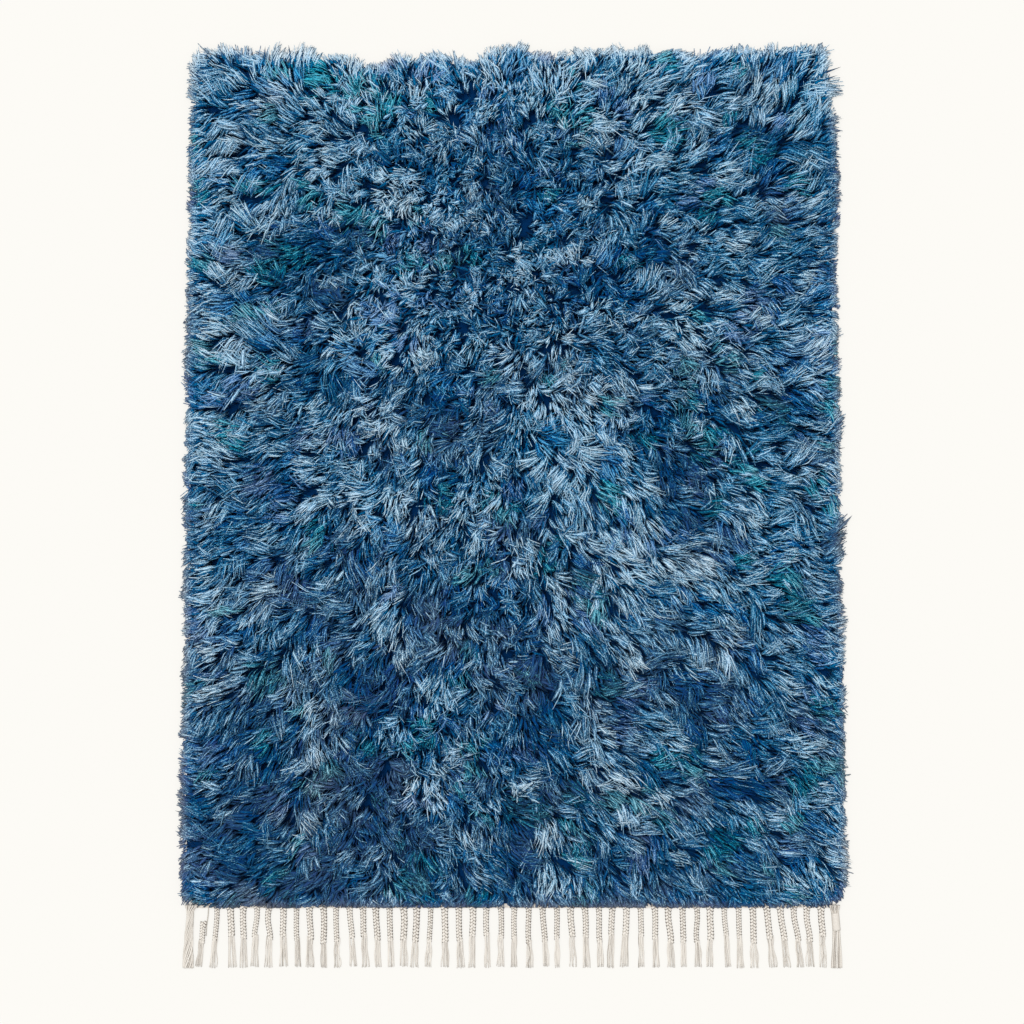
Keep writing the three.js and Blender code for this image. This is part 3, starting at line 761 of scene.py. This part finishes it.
def dyed(x, y, lock, locks):
    """The yarn of each tuft: its lock's dye, unless it strays or lies in a named area."""
    yarn = locks["plain"][lock].copy()
    stray = rng.random(x.size) < STRAY_SHARE
    yarn[stray] = np.clip(yarn[stray] + rng.choice((-1, 1), stray.sum()), 0, MIST)
    accent = locks["accent"][lock]
    taken = (accent != NO_ACCENT) & (rng.random(x.size) < ACCENT_SHARE)
    yarn[taken] = accent[taken]
    spots = seen(x, y)
    for *area, dye in DYE_AREAS:
        yarn[away(area, *spots) < rng.uniform(0.5, 1.3, x.size)] = DYES.index(dye)
    return yarn


def make_tufts(locks):
    """The tufts: their places, locks, wisps and dyes, and what their yarns share."""
    x, y = scattered(TUFT_PITCH, ROOT_MARGIN)
    lock = nearest(x, y, locks)
    wisp_x, wisp_y = scattered(WISP_PITCH, 0.0)
    wisp = nearest(x, y, {"x": wisp_x, "y": wisp_y})
    turn, tone, lift, ragged, curl = chance(5, wisp_x.size)[:, wisp]
    rich = blended(RICHNESS, y) + areas_at(RICH_AREAS, x, y)
    for size, swing, layer in RICH_SWINGS:
        rich += swing * noise_at(x, y, size, layer)
    return dict(
        x=x, y=y, lock=lock, yarn=dyed(x, y, lock, locks),
        wisp=np.stack([wisp_x, wisp_y], axis=1)[wisp],
        pinch=rng.uniform(0.0, 0.60, wisp_x.size)[wisp], turn=turn + 0.12 * chance(x.size),
        tone=0.85 * tone + 0.5 * chance(x.size), lift=lift, curl=curl, ragged=ragged, rich=rich,
    )


def tangle_at(x, y):
    """How far the yarns stand up and tangle, from 0 to 1, and how well they are combed."""
    east, north = lie_at(x, y)
    combed = np.clip(np.hypot(east, north), 0, 1)
    tangle = np.clip((1 - combed) ** 1.3 + areas_at(TANGLED_AREAS, x, y), 0, 1)
    return tangle * np.clip(inside(x, y) / 0.10, 0, 1), combed


def chosen_tufts(number, tufts, density):
    """The tuft of each yarn: more of them where the density is high, and along the rim."""
    tangle, _ = tangle_at(tufts["x"], tufts["y"])
    weight = density[0] + density[1] * tangle
    weight = weight + np.clip(1 - inside(tufts["x"], tufts["y"]) / RIM_WIDTH, 0, 1)
    reach = np.cumsum(weight) / weight.sum() * number
    places = np.searchsorted(reach, np.arange(number) + 0.5)
    return rng.permutation(np.clip(places, 0, len(reach) - 1))


def make_yarns(tufts, locks, kind):
    """Yarn ends as arrays: where each is rooted, how it lies and how it is dyed."""
    number = KINDS[kind].count
    chosen = chosen_tufts(number, tufts, KINDS[kind].density)
    tuft = {key: values[chosen] for key, values in tufts.items()}
    lock = {key: values[tuft["lock"]] for key, values in locks.items()}
    x = tuft["x"] + ROOT_SCATTER * chance(number)
    y = tuft["y"] + ROOT_SCATTER * chance(number)
    depth = inside(x, y)
    east, north = lie_at(x, y)
    tangle, combed = tangle_at(x, y)

    def tangled(pair):
        return pair[0] + pair[1] * tangle

    out_east, out_north = outward(x, y)
    pull = 0.7 * np.clip(1 - depth / OUTWARD_WITHIN, 0, 1)
    heading = np.arctan2(north + pull * out_north, east + pull * out_east)
    heading += tangled(LOCK_TURN) * lock["turn"] * (1 - pull)
    loose = tangled(TUFT_TURN) + 1.5 * (1 - combed) ** 2
    heading += loose * tuft["turn"] * (1 - 0.5 * pull)
    heading += tangled(YARN_TURN) * chance(number)
    ahead = np.stack([np.cos(heading), np.sin(heading)], axis=1)
    aside = np.stack([-ahead[:, 1], ahead[:, 0]], axis=1)
    wisp_offset = np.stack([x, y], axis=1) - tuft["wisp"]
    across = (wisp_offset * aside).sum(axis=1)
    row = COMB_PITCH * (np.round(across / COMB_PITCH) + 0.10 * chance(number))
    if kind in ("bundle", "inner"):
        row = across
    wisp_offset += ((row - across) * (1 - 0.8 * tangle))[:, None] * aside
    x, y = (tuft["wisp"] + wisp_offset).T
    offset = np.stack([x - lock["x"], y - lock["y"]], axis=1)
    spread = np.clip(np.hypot(*offset.T) / (0.6 * LOCK_PITCH), 0, WIDEST)
    wisp_spread = np.clip(np.hypot(*wisp_offset.T) / (0.6 * WISP_PITCH), 0, WIDEST)
    sideways = (offset * aside).sum(axis=1) * lock["pinch"]
    sideways += (wisp_offset * aside).sum(axis=1) * tuft["pinch"]
    sideways *= np.clip(0.25 + depth / RIM_WIDTH, 0, 1)
    steep = np.clip(tangled(STEEPNESS) + lock["steep"], 0, STEEPEST) * np.clip(depth / 0.08, 0, 1)

    rank = np.clip(chance(number), -2, 2)
    height = PILE_HEIGHT + LOCK_LIFT * lock["lift"]
    height -= LOCK_EDGE_DROP * spread**2 + WISP_EDGE_DROP * wisp_spread**2
    height += STRAND_LIFT * rank + 0.003 * steep + WISP_LIFT * np.clip(tuft["lift"], -2, 1.5)
    length = rng.uniform(SHORTEST_TOP, LONGEST_TOP, number) * (1 - 0.70 * steep)
    # Painted shade between locks and wisps: darker towards their edges, where they drop lower
    tone = lock["tone"] * (1 - 0.10 * spread**2 - 0.06 * wisp_spread**2)
    tone += 0.055 * (np.exp(0.7 * tuft["tone"]) - 1.27)
    # Painted shade: yarns that lie lower, by their rank, are darker
    tone += (blended(STRAND_CONTRAST, y) + 0.08 * tangle) * rank
    ragged = 0.4 * lock["ragged"] + 0.6 * tuft["ragged"] + 0.4 * chance(number)
    ragged = np.clip(ragged, -1.0, 1.8)
    curl = lock["curl"] + tangled(YARN_CURL) * chance(number)
    curl = curl * (1 - 0.5 * steep) + tangled(WISP_CURL) * tuft["curl"]
    yarn = tuft["yarn"]
    stray = (rng.random(number) < STRAND_STRAY_SHARE) & (yarn <= MIST)
    yarn[stray] = np.clip(yarn[stray] + rng.choice((-2, -1, 1, 2), stray.sum()), 0, MIST)
    if kind == "short":
        steep = np.clip(steep + 0.15, 0, STEEPEST)
        length *= 0.85
    if kind == "bundle":
        height -= BUNDLE_SINK
        length *= 0.85
    if kind == "inner":
        height *= rng.uniform(0.54, 0.82, number)
        length = rng.uniform(SHORTEST_TOP, LONGEST_TOP, number) * 1.15
        # Painted shade: the wool deep in the pile is darker
        tone *= 0.60
        ragged -= INNER_SHORT
        steep *= 0
    return dict(
        root=np.stack([x, y], axis=1), ahead=ahead, aside=aside, length=length, steep=steep,
        height=np.clip(height, 0.006, HIGHEST), sideways=sideways, curl=curl,
        ragged=RAGGED_TIPS * (1 + areas_at(RAGGED_MORE, x, y)) * ragged, yarn=yarn, rank=rank,
        tone=tone, rich=tuft["rich"],
    )


def drawn_back(yarns):
    """Each yarn's length, shortened where its tip would pass the line of the tips."""
    long, short = yarns["length"].copy(), np.zeros(len(yarns["length"]))

    def kept(length):
        x, y = (yarns["root"] + length[:, None] * yarns["ahead"]).T
        level = y - PILE_END + 0.20 * yarns["ragged"] > 0
        return (inside(x, y) + yarns["ragged"] > 0) & level

    whole = kept(long)
    for _ in range(9):
        middle = (short + long) / 2
        good = kept(middle)
        short = np.where(good, middle, short)
        long = np.where(good, long, middle)
    return np.where(whole, yarns["length"], short)


def yarn_paths(yarns, levels):
    """Points along each yarn and the values at each: it rises from its knot, bends over and lies
    on its neighbours, lower and duller towards the rim. Its tone holds painted shade: darker towards
    the root, lower down and towards the rim."""
    length = drawn_back(yarns)
    room = np.clip(length / yarns["length"], 0.2, 1)
    points, tones, riches = [], [], []
    for share, combed, upright in levels:
        shift = (yarns["curl"] * share**2 - yarns["sideways"] * share) * room
        flat = yarns["root"] + (length * share)[:, None] * yarns["ahead"]
        flat += shift[:, None] * yarns["aside"]
        flat[:, 1] = np.maximum(flat[:, 1], PILE_END + 0.15 * yarns["ragged"])
        depth = inside(*flat.T)
        limit = np.minimum(
            np.interp(depth, *zip(*RIM_RISE)),
            np.interp(flat[:, 1] - PILE_END, *zip(*FRINGE_RISE)),
        )
        limit = limit * (0.80 + 0.13 * yarns["rank"])
        lift = combed + (upright - combed) * yarns["steep"]
        z = np.minimum(ROOT_LEVEL + (yarns["height"] - ROOT_LEVEL) * lift, limit)
        z = np.maximum(z, ROOT_LEVEL)
        points.append(np.column_stack([flat, z]))
        # Painted shade: the tone falls towards the root, lower down and near the rim
        lit = np.clip(z / np.minimum(limit, PILE_HEIGHT), 0, 1.2)
        rim = np.clip(1 - depth / RIM_DULL_WITHIN, 0, 1)
        shade = 1 - blended(RIM_SHADE, flat[:, 1]) * rim
        tones.append(yarns["tone"] * (0.58 + 0.42 * share) * (0.50 + 0.50 * lit) * shade)
        riches.append(1 + yarns["rich"] - RIM_DULLNESS * rim**2)
    points, tones, riches = (np.stack(values, axis=1) for values in (points, tones, riches))
    return points, {"tone": tones, "rich": riches}


def make_pile():
    """All yarn ends: one piece for each dye, and one for the wool deep down."""
    locks = make_locks()
    tufts = make_tufts(locks)
    yarns = {name: make_yarns(tufts, locks, name) for name in KINDS}
    shapes = {}
    for name, kind in KINDS.items():
        uneven = np.ones(kind.count) if name == "inner" else rng.uniform(*THICKNESS_RANGE, kind.count)
        radii = kind.radius * uneven[:, None] * (kind.taper * np.ones(len(kind.levels)))
        shapes[name] = (radii, *yarn_paths(yarns[name], kind.levels))

    def made(name, chosen):
        kind = KINDS[name]
        radii, paths, values = shapes[name]
        part = {key: numbers[chosen] for key, numbers in values.items()}
        return tubes(paths[chosen], radii[chosen], pointed=kind.pointed, strands=kind.strands), part

    pieces = []
    for number, (dye, colours) in enumerate(YARNS.items()):
        sets = [made(name, yarns[name]["yarn"] == number) for name in ("long", "short", "bundle")]
        pieces.append(tube_object("pile_" + dye, sets, pile_material("wool_" + dye, colours)))
    deep = pile_material("wool_inner", DEEP_WOOL)
    pieces.append(tube_object("pile_inner", [made("inner", slice(None))], deep))
    return pieces


def halved(a, b, c, d):
    """Four-sided faces as triangles: all their first halves, then all their second ones."""
    return np.concatenate([np.stack([a, b, c], 1), np.stack([a, c, d], 1)])


def make_ground():
    """The woven ground as one thin closed sheet under the pile."""
    columns, rows = 24, 32
    v = np.linspace(0, 1, rows + 1)
    u = np.linspace(0, 1, columns + 1)
    level = STRIP_START + (PLAIN_END - GROUND_MARGIN - STRIP_START) * v
    left, right = blended(SIDE_REACH, level).T
    x = (left + GROUND_MARGIN)[:, None] * (1 - u) + (right - GROUND_MARGIN)[:, None] * u
    near = STRIP_START + blended(FRINGE_END_SHORT, x)
    y = near + (PLAIN_END - blended(PLAIN_END_SHORT, x) - GROUND_MARGIN - near) * v[:, None]
    size = x.size
    low = np.column_stack([x.ravel(), y.ravel(), np.zeros(size)])
    high = low + (0.0, 0.0, GROUND_THICKNESS)
    grid = np.arange(size).reshape(x.shape)
    corners = grid[:-1, :-1], grid[:-1, 1:], grid[1:, 1:], grid[1:, :-1]
    top = halved(*(numbers.ravel() for numbers in corners)) + size
    bottom = (top - size)[:, ::-1]
    rim = np.concatenate([grid[0, :-1], grid[:-1, -1], grid[-1, :0:-1], grid[:0:-1, 0]])
    after = np.roll(rim, -1)
    rim_faces = halved(rim, after, after + size, rim + size)
    flat_u = np.broadcast_to(u, x.shape).ravel()
    flat_v = np.broadcast_to(v[:, None], x.shape).ravel()
    margin = 0.02
    across = margin + (0.5 - 2 * margin) * flat_u
    place = np.column_stack([across, margin + (0.9 - 2 * margin) * flat_v])
    under = place + (0.5, 0.0)
    share = np.linspace(margin, 1 - margin, rim.size + 1)
    wall_low, wall_high = (np.column_stack([share, np.full(share.size, up)]) for up in (0.93, 0.98))
    walls = halved(wall_low[:-1], wall_low[1:], wall_high[1:], wall_high[:-1])
    places = np.concatenate([place[top - size], under[bottom], walls]).reshape(-1, 2)
    vertices, faces = np.concatenate([low, high]), np.concatenate([top, bottom, rim_faces])
    ground = mesh_object("woven_ground", vertices, faces, {"OFBake": places}, ground_material())
    return ground


def braid_rows():
    """Where each braid between the end locks leaves the strip, how far it drifts, and its width."""
    rows = []
    x = FIRST_BRAID_X
    for number, pitch, drift in BRAID_GROUPS:
        for _ in range(number):
            width = BRAID_WIDTH * rng.uniform(0.86, 1.10)
            rows.append((x, drift / 10000 + 0.0015 * rng.standard_normal(), width))
            x += pitch / 10000
    return np.array(rows)[1:-1]


def make_braids(x, drift, width, start, tip, braid):
    """Flat plaits of three strands, in one piece."""
    number = len(x)
    levels = 36
    along = np.linspace(0, 1, levels)
    went = along * braid
    share = went / (start - tip)
    sway = 0.0010 * chance(2, number, 1)
    centre = x + drift * share
    for swing, waves in zip(sway, (5, 9)):
        centre = centre + swing * np.sin(waves * share)
    thick = BRAID_STRAND * width * np.ones(levels)
    flare = 1 + 0.45 * np.exp(-np.maximum(went - 0.0075, 0) / 0.0035)
    paths, tones = [], []
    for strand in range(PLAITED_STRANDS):
        strand_tone = chance(number, 1)
        turns = went / (BRAID_PITCH_OVER_WIDTH * width)
        phase = 2 * math.pi * (turns + strand / PLAITED_STRANDS)
        across = centre + (width / 2 - thick) * flare * np.sin(phase)
        over = np.sin(2 * phase)
        up = 0.72 * thick + 0.0017 + 0.0014 * over
        paths.append(np.stack([across, start - went, up], axis=-1))
        # Painted shade: each strand darker where it passes under the others
        tones.append(0.34 + 1.05 * np.minimum(over - 0.50, 0) + 0.04 * strand_tone)
    made = tubes(np.concatenate(paths), np.tile(thick, (PLAITED_STRANDS, 1)), sides=6, flat=0.72)
    material = cream_material("warp_braid", 3, 0.016, ridge=3.0)
    return tube_object("fringe_braids", [(made, {"tone": np.concatenate(tones)})], material)


def end_lock(table, turns):
    """The strands of one lock at an end of the fringe; its roots lie over the edge of the pile."""
    levels = 30
    y = np.linspace(-0.912, FRINGE_END, levels)
    middle, half = blended(table, y).T
    over_pile = 0.008 * np.clip((y + 0.921) / 0.007, 0, 1)
    paths = []
    for strand in range(END_LOCK_STRANDS):
        first = 2 * math.pi * (strand + 0.3 * rng.random()) / END_LOCK_STRANDS
        phase = first + 2 * math.pi * turns * np.linspace(0, 1, levels)
        wave = 0.0006 * np.sin(np.linspace(0, 9, levels) + ANY_PHASE * rng.random())
        across = middle + (half - END_STRAND_RADIUS) * np.cos(phase) + wave
        up = END_STRAND_RADIUS + 0.0024 * (1 + np.sin(phase)) * np.linspace(1, 0.4, levels)
        down = y + 0.002 * rng.random() * np.linspace(0, 1, levels)
        paths.append(np.column_stack([across, down, up + over_pile]))
    return np.array(paths)


def make_wrapping():
    """The cord wound round the top of the last lock, in one piece."""
    levels = 12
    y = np.linspace(*WRAPPING, levels)
    middle, half = blended(LAST_LOCK, y).T
    path = np.column_stack([middle, y, np.full(levels, 0.0052)])
    made = tubes(path[None], (half + 0.0006)[None], sides=14, flat=0.5)
    sets = [(made, {"tone": np.full((1, levels), 0.10)})]
    return tube_object("fringe_wrapping", sets, cream_material("wound_cord", 1, 0.0030))


def make_ends(x, drift, width, start, tip, braid):
    """The loose yarns below each braid and the two end locks, in one piece."""
    number = len(x)
    levels = 8
    along = np.linspace(0, 1, levels)
    first = braid - 0.008
    fan = rng.uniform(0.75, 1.25, (number, 1))
    paths, radii, tones = [], [], []
    for yarn in range(LOOSE_YARNS):
        slot = (yarn + 0.5) / LOOSE_YARNS - 0.5 + 0.04 * chance(number, 1)
        whole = start - tip - 0.003 * rng.random((number, 1))
        went = first + (whole - first) * along
        wave = np.sin(8 * along + ANY_PHASE * rng.random((number, 1)))
        wave *= 0.0009 * chance(number, 1)
        across = x + drift * went / (start - tip)
        across = across + slot * width * (0.75 + (fan - 0.55) * along**1.2) + wave
        up = 0.0014 + 0.0030 * (1 - along) ** 2 + 0.0011 * (yarn % 2)
        up = np.broadcast_to(up, across.shape)
        paths.append(np.stack([across, start - went, up], axis=-1))
        thick = LOOSE_YARN_RADIUS * rng.uniform(0.8, 1.15, (number, 1))
        radii.append(thick * (1 - 0.25 * along**4))
        tones.append(np.repeat(0.24 + 0.13 * chance(number, 1), levels, axis=1))
    made = tubes(np.concatenate(paths), np.concatenate(radii), sides=5)
    sets = [(made, {"tone": np.concatenate(tones)})]
    for table, turns in ((FIRST_LOCK, 0.8), (LAST_LOCK, 0.0)):
        strands = end_lock(table, turns)
        even = np.ones(strands.shape[:2])
        made = tubes(strands, END_STRAND_RADIUS * even, sides=6)
        sets.append((made, {"tone": (0.08 + 0.10 * chance(len(strands), 1)) * even}))
    made = tubes(np.array([STEM]), np.full((1, len(STEM)), 0.0014), sides=6)
    sets.append((made, {"tone": np.full((1, len(STEM)), -0.05)}))
    return tube_object("fringe_ends", sets, cream_material("warp_yarn", 2, 0.010, ridge=1.6))


def make_strip(x):
    """The twined cords the braids come out of, in one piece."""
    cords = 3
    levels = 220
    edge = np.linspace(x[0] - 0.041, x[-1] + 0.036, levels)
    paths = []
    for cord in range(cords):
        level = STRIP_START - (cord + 0.5) * (STRIP_START - STRIP_END) / cords
        phase = edge / 0.0045 + cord * math.pi
        wound = level + 0.0004 * np.sin(phase)
        paths.append(np.column_stack([edge, wound, 0.0024 + 0.0005 * np.cos(phase)]))
    made = tubes(np.array(paths), np.full((cords, levels), 0.0018), sides=6)
    sets = [(made, {"tone": np.full((cords, levels), 0.36)})]
    return tube_object("fringe_strip", sets, cream_material("twined_end", 2, 0.009))


def make_fringe():
    """Braided warps with loose ends, and the twined strip they come from."""
    x, drift, width = braid_rows().T
    start = np.full(len(x), STRIP_END + 0.008)
    tip = FRINGE_END + rng.uniform(-0.001, 0.003, len(x))
    braid = BRAID_LENGTH * rng.uniform(0.88, 1.12, len(x))
    braid[0] -= start[0] - STEMMED_BRAID_START
    start[0] = STEMMED_BRAID_START
    columns = [numbers[:, None] for numbers in (x, drift, width, start, tip, braid)]
    pieces = [make_braids(*columns), make_ends(*columns), make_wrapping(), make_strip(x)]
    return pieces


def make_stage():
    """A plain floor, soft light, and the camera above."""
    scene = bpy.context.scene
    nodes = Nodes("floor_paint")
    nodes.set_shader(FLOOR_PAINT)
    corners = FLOOR_REACH * np.array([(-1, -1, 0), (1, -1, 0), (1, 1, 0), (-1, 1, 0)])
    floor = mesh_object("floor", corners, np.array([(0, 1, 2), (0, 2, 3)]), {}, nodes.material)
    floor.location.z = -FLOOR_GAP

    world = bpy.data.worlds.new("studio")
    scene.world = world
    world.use_nodes = True
    sky = world.node_tree.nodes["Background"].inputs
    sky["Color"].default_value = (1.0, 1.0, 1.0, 1.0)
    sky["Strength"].default_value = SKY_STRENGTH

    sun = bpy.data.lights.new("key", "SUN")
    sun.energy = SUN_STRENGTH
    sun.angle = math.radians(SUN_DEGREES)
    placed("key", sun).rotation_euler = Vector(SUN_FROM).to_track_quat("Z", "Y").to_euler()

    lens = bpy.data.cameras.new("camera")
    lens.sensor_width = SENSOR_MM
    lens.lens = SENSOR_MM * CAMERA_HEIGHT / VIEW_WIDTH
    camera = placed("camera", lens)
    camera.location = (*CAMERA_MIDDLE, CAMERA_HEIGHT)
    scene.camera = camera
    scene.view_settings.view_transform = "Standard"


make_stage()
pile = make_pile()
ground = make_ground()
fringe = make_fringe()
for piece in [*pile, ground, *fringe]:
    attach(piece, "root")
for piece in [*pile, ground]:
    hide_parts("pile_and_ground")
for piece in fringe:
    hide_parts("braided_fringe")
